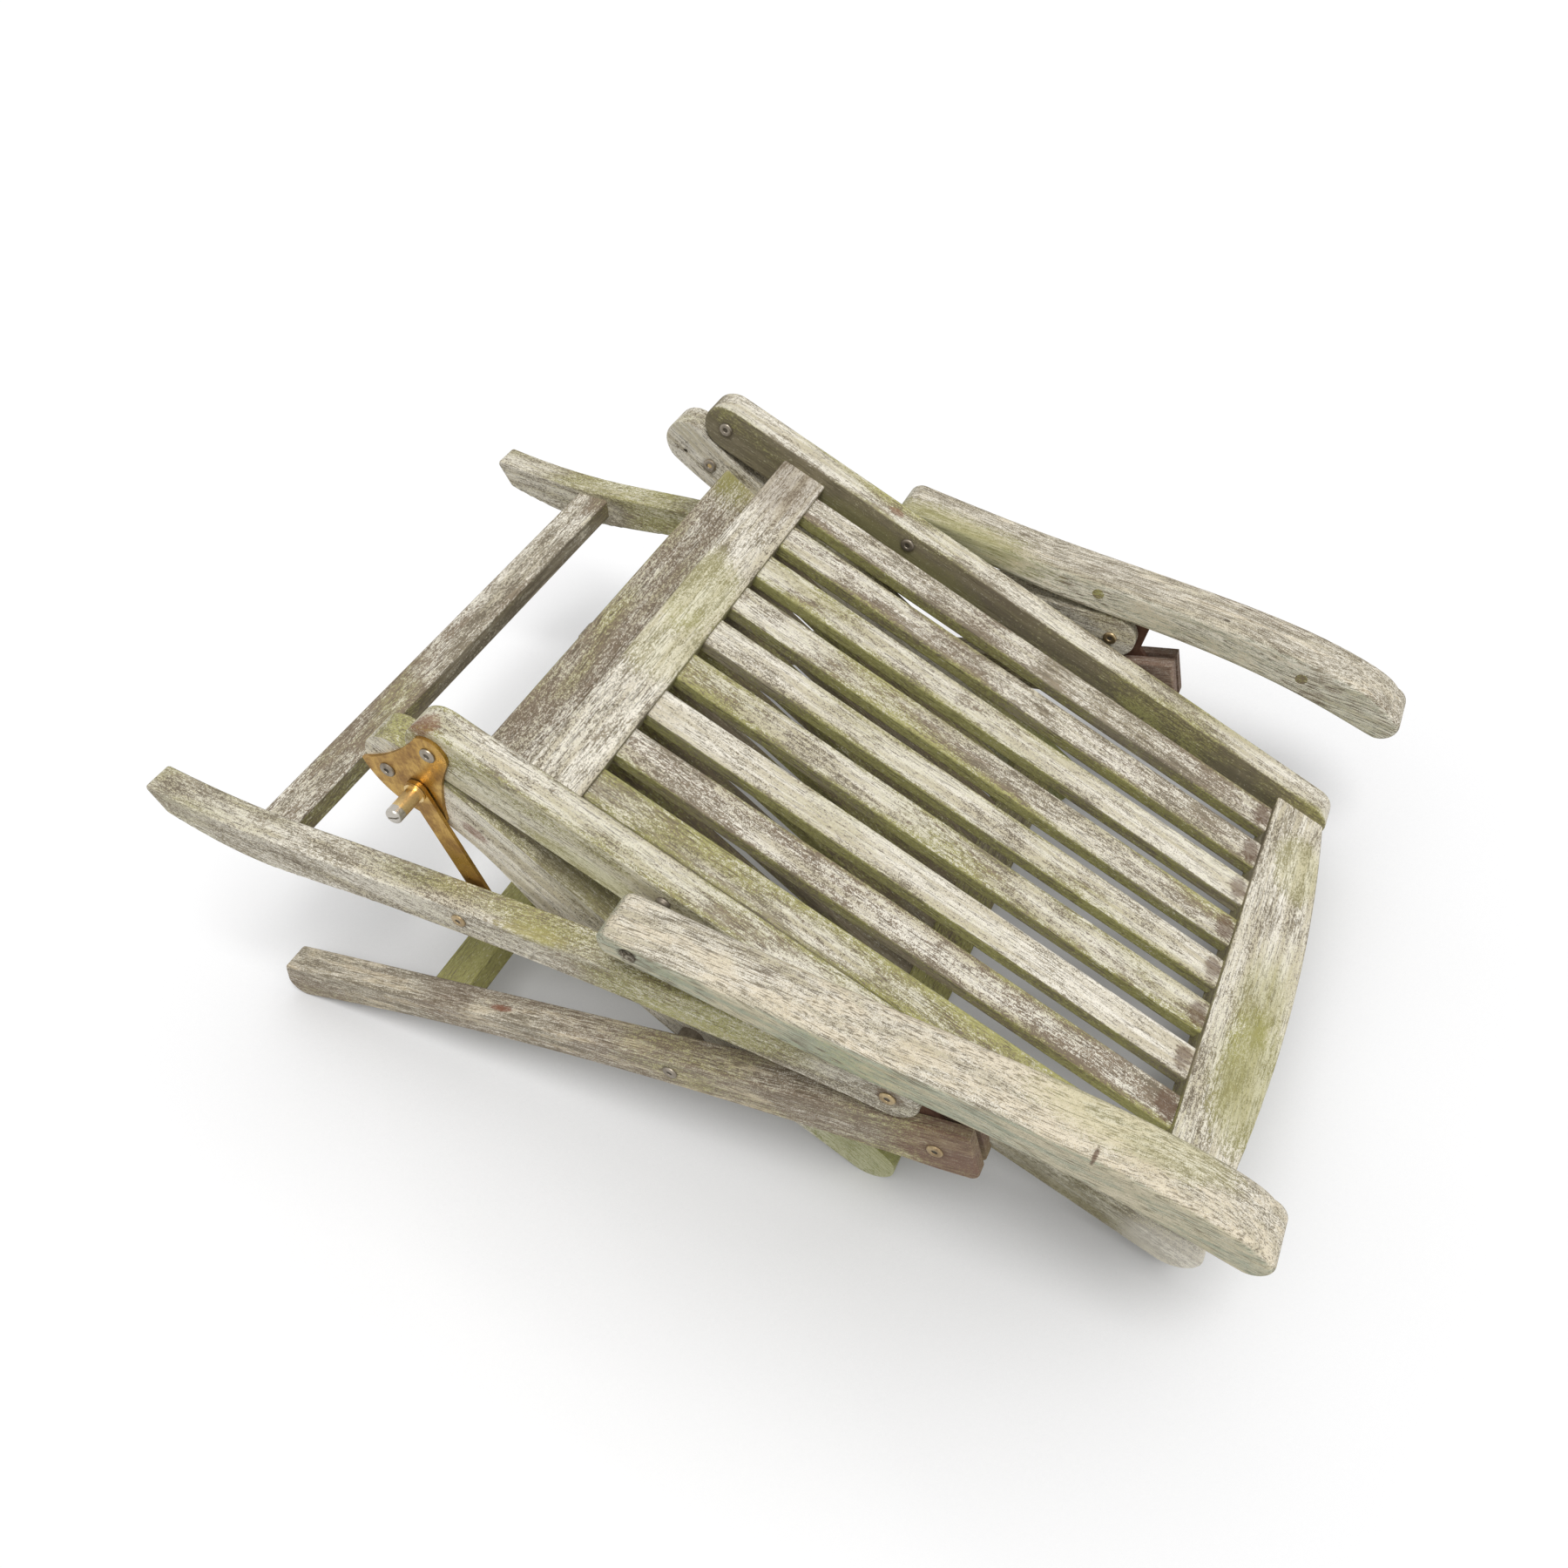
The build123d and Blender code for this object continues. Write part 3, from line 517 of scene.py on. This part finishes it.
def aged_metal(name, bright, dull, rough, tarnish, metallic=1.0, tip=None):
    """Metal with a worn, uneven skin; a tip of another metal starts at some distance from the middle."""
    look = Look(name)
    cloud = look.noise(look.place, 70.0, 4.0, 0.6)
    grit = look.noise(look.place, 520.0, 3.0, 0.6)
    scratch = look.noise(look.vector(
        look.dot(look.place, side(30)) * 900.0, look.dot(look.place, side(120)) * 40.0, 0.0
    ), detail=2.0)
    worn = (cloud * 0.7 + grit * 0.2 + scratch * 0.2).smooth(0.42, 0.68)
    colour = look.mix(worn * tarnish, bright, dull)
    if tip:
        start, tip_metal = tip
        outside = abs(look.dot(look.place, SIDEWAYS)).smooth(start, start + TIP_EDGE)
        colour = look.mix(outside, colour, tip_metal)
    grimy = (cloud * 0.5 + grit * 0.6).smooth(0.60, 0.74)
    colour = look.mix(grimy * GRIME_HIDES, colour, GRIME)
    return look.surface(
        Base_Color=colour,
        Metallic=metallic - 0.35 * worn,
        Roughness=rough + 0.22 * worn,
        Normal=look.bump(grit * 0.6 + scratch * 0.3, strength=0.25, distance=0.0006),
    )


tarnished_brass = aged_metal(
    "tarnished_brass", bright=(0.50, 0.31, 0.075), dull=(0.27, 0.135, 0.028), rough=0.24, tarnish=0.9,
)
pin_brass = aged_metal(
    "rubbed_brass_pin", bright=(0.72, 0.55, 0.27), dull=(0.42, 0.27, 0.10), rough=0.20, tarnish=0.6,
    tip=(0.276, (0.50, 0.47, 0.42)),
)
rivet_brass = aged_metal(
    "rivet_brass", bright=(0.45, 0.35, 0.20), dull=(0.25, 0.17, 0.09), rough=0.34, tarnish=0.8,
)
rusty_iron = aged_metal(
    "rusted_bracket", bright=(0.16, 0.085, 0.05), dull=(0.085, 0.035, 0.02), rough=0.7, tarnish=0.9,
    metallic=0.35,
)
dull_steel = aged_metal(
    "grey_bolt_steel", bright=(0.34, 0.30, 0.245), dull=(0.17, 0.14, 0.105), rough=0.36, tarnish=0.8,
)
# Painted shade with dark steel: the fasteners' heads are near black, for the shade in their recessed
# drives
recess_shade_steel = aged_metal(
    "recess_shade_steel", bright=(0.13, 0.11, 0.08), dull=(0.06, 0.048, 0.034), rough=0.6, tarnish=0.9,
    metallic=0.6,
)

for material, names in (
    (tarnished_brass, ("hinge_plate_right", "hinge_plate_left", "strap_right", "strap_left")),
    (pin_brass, ("support_pin_right", "support_pin_left", "pin_collars")),
    (rivet_brass, ("strap_studs",)),
    (rusty_iron, (
        "arm_bracket_right", "arm_bracket_left", "bracket_pins", "recline_rack_right",
        "recline_rack_left", "rack_bolts_right", "rack_bolts_left",
    )),
    (dull_steel, ("leg_spacers",)),
    (recess_shade_steel, (
        "back_hinge_bolts", "leg_pivot_bolts", "plate_screws", "arm_pivot_bolts", "strap_rivets",
        "rear_bracket_rivets", "front_bracket_rivets",
    )),
):
    for name in names:
        dress(name, material)

# Turned rings on the fasteners' heads, round a drive that shows the heads' painted shade: (radius,
# height) in metres
RING = (
    (0.0024, 0.0001), (0.0026, 0.0006), (0.0031, 0.0008), (0.0050, 0.0008), (0.0060, 0.0005),
    (0.0066, -0.0002), (0.0066, -0.0010),
)
AROUND = 40


def turned(name, body, pivot, faces, material, profile=RING):
    """Turned pieces about one pivot, one for each face.

    A face is its place across the chair, and 1 or -1 for the way that it looks.
    """
    rings = bmesh.new()
    for x, outward in faces:
        courses = []
        for radius, height in profile:
            course = []
            for step in range(AROUND):
                turn = 2 * pi * step / AROUND
                course.append(rings.verts.new((
                    x + outward * height, pivot[0] + radius * cos(turn), pivot[1] + radius * sin(turn)
                )))
            courses.append(course)
        for inner, outer in zip(courses, courses[1:]):
            for step in range(AROUND):
                after = (step + 1) % AROUND
                rings.faces.new((inner[step], inner[after], outer[after], outer[step])).smooth = True
    bmesh.ops.recalc_face_normals(rings, faces=rings.faces)
    mesh = bpy.data.meshes.new(name)
    rings.to_mesh(mesh)
    rings.free()
    mesh.materials.append(material)
    piece = bpy.data.objects.new(name, mesh)
    bpy.context.scene.collection.objects.link(piece)
    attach(piece, body)
    return piece


def both_sides(x, outward=1):
    return ((x, outward), (-x, -outward))


# How far a head stands out of the wood
HEAD_HEIGHT = 0.0012
outer_plate = both_sides(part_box("back_hinge_bolts")[1].x)
outer_leg = both_sides(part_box("leg_pivot_bolts")[1].x)
inner_leg = both_sides(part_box("rear_leg_right")[0].x - HEAD_HEIGHT, -1)
inner_stile = both_sides(STILE_FACE - HEAD_HEIGHT, -1)
outer_arm = both_sides(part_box("arm_pivot_bolts")[1].x)
for name, body, slot, pivot, faces, material in (
    ("back_hinge_rings", "seat", "grey_steel", BACK_HINGE, outer_plate + inner_stile, dull_steel),
    ("plate_screw_rings", "seat", "grey_steel", PLATE_SCREW, outer_plate, dull_steel),
    ("support_pin_rings", "seat", "dull_brass", SUPPORT_PIN, inner_stile, dull_steel),
    ("leg_pivot_rings", "seat", "grey_steel", LEG_PIVOT, outer_leg + inner_stile, dull_steel),
    ("arm_pivot_rings", "back", "grey_steel", ARM_PIVOT, outer_arm + inner_stile, dull_steel),
    ("strap_rivet_rings", "rear_legs", "dull_brass", STRAP_RIVET, outer_leg, rivet_brass),
    ("rear_rivet_rings", "rear_legs", "dull_brass", REAR_TOP, outer_leg + inner_leg, rivet_brass),
    ("front_rivet_rings", "front_legs", "dull_brass", FRONT_TOP, outer_leg + inner_leg, rivet_brass),
):
    turned(name, body, pivot, faces, material)

# The spacers of the arms' pivots, slimmer at the middle
SLEEVE_LENGTH = 0.0067
SLEEVE = (
    (0.0036, 0.0), (0.0060, 0.0), (0.0060, 0.0014), (0.0046, 0.0020), (0.0046, 0.0048), (0.0060, 0.0054),
    (0.0060, SLEEVE_LENGTH), (0.0036, SLEEVE_LENGTH),
)
sleeves = turned(
    "arm_pivot_sleeves", "back", ARM_PIVOT,
    both_sides(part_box("arm_washers")[1].x - SLEEVE_LENGTH), dull_steel, SLEEVE,
)
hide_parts("arm_washers")

# Stage: a white floor and sky, with shade only close to the chair, partly painted into the floor's colour
WHITE = (1, 1, 1, 1)
FLOOR_REACH = 30.0
FLOOR_OPEN = (0.90, 0.90, 0.905)
FLOOR_SHADED = (0.48, 0.48, 0.484)
FLOOR_BOUNCE = (0.72, 0.72, 0.72, 1.0)
FLOOR_GLOW = 0.10
SHADE_REACH = 0.30
SHADE_SAMPLES = 12
SKY_LIGHT = 0.31
SKY_SEEN = 1.0
SUN_LIGHT = 2.5
SUN_WIDTH = 32
SUN_FROM = Vector((0.32, 0.36, 1.0))


def seen_directly(look):
    """1 for what the camera, a mirror or glass sees."""
    total = None
    for ray in ("Is Camera Ray", "Is Glossy Ray", "Is Transmission Ray"):
        share = look.node("ShaderNodeLightPath", None, None, ray)
        total = share if total is None else total.larger(share)
    return total


def pale_floor():
    """Near white where it is seen, with a soft painted shade under the chair, and greyer as a source of
    light.
    """
    look = Look("pale_floor")
    # Painted shade: an ambient occlusion node darkens the floor's colour under the chair
    open_sky = look.node(
        "ShaderNodeAmbientOcclusion", {"samples": SHADE_SAMPLES}, {"Distance": SHADE_REACH}, "AO"
    )
    shade = look.mix(open_sky * open_sky, FLOOR_SHADED, FLOOR_OPEN)
    lit = look.node("ShaderNodeBsdfDiffuse", None, {"Color": shade})
    glow = look.node("ShaderNodeEmission", None, {"Color": WHITE, "Strength": FLOOR_GLOW})
    shown = look.node("ShaderNodeAddShader", None, {0: lit, 1: glow})
    bounce = look.node("ShaderNodeBsdfDiffuse", None, {"Color": FLOOR_BOUNCE})
    look.show(look.node("ShaderNodeMixShader", None, {0: seen_directly(look), 1: bounce, 2: shown}))
    return look.material


floor_mesh = bpy.data.meshes.new("floor")
floor_corners = [
    (x * FLOOR_REACH, y * FLOOR_REACH, 0) for x, y in ((-1, -1), (1, -1), (1, 1), (-1, 1))
]
floor_mesh.from_pydata(floor_corners, [], [(0, 1, 2, 3)])
floor = bpy.data.objects.new("floor", floor_mesh)
floor_mesh.materials.append(pale_floor())
bpy.context.scene.collection.objects.link(floor)


class Sky(Look):
    """The nodes of a world."""

    def __init__(self, world):
        world.use_nodes = True
        self.tree = world.node_tree
        self.tree.nodes.clear()


world = bpy.data.worlds.new("studio")
bpy.context.scene.world = world
sky = Sky(world)
soft = sky.node("ShaderNodeBackground", None, {"Color": WHITE, "Strength": SKY_LIGHT})
white = sky.node("ShaderNodeBackground", None, {"Color": WHITE, "Strength": SKY_SEEN})
sky.show(
    sky.node("ShaderNodeMixShader", None, {0: seen_directly(sky), 1: soft, 2: white}),
    "ShaderNodeOutputWorld",
)

lamp = bpy.data.lights.new("soft_key", "SUN")
lamp.energy = SUN_LIGHT
lamp.angle = radians(SUN_WIDTH)
key = bpy.data.objects.new("soft_key", lamp)
key.rotation_euler = SUN_FROM.to_track_quat("Z", "Y").to_euler()
bpy.context.scene.collection.objects.link(key)

# Camera, fitted to the photograph
eye = bpy.data.cameras.new("camera")
eye.sensor_width = 36.0
eye.lens = 30.32
eye.clip_start = 0.01
camera = bpy.data.objects.new("camera", eye)
place = Vector((0.73171, 0.45696, 1.02751))
right = Vector((-0.43889, 0.89125, -0.11414))
down = Vector((0.66865, 0.23910, -0.70409))
ahead = Vector((-0.60024, -0.38534, -0.70088))
turn = Matrix((right, -down, -ahead)).transposed().to_4x4()
camera.matrix_world = Matrix.Translation(place) @ turn
bpy.context.scene.collection.objects.link(camera)
bpy.context.scene.camera = camera

bpy.context.scene.view_settings.view_transform = "Standard"
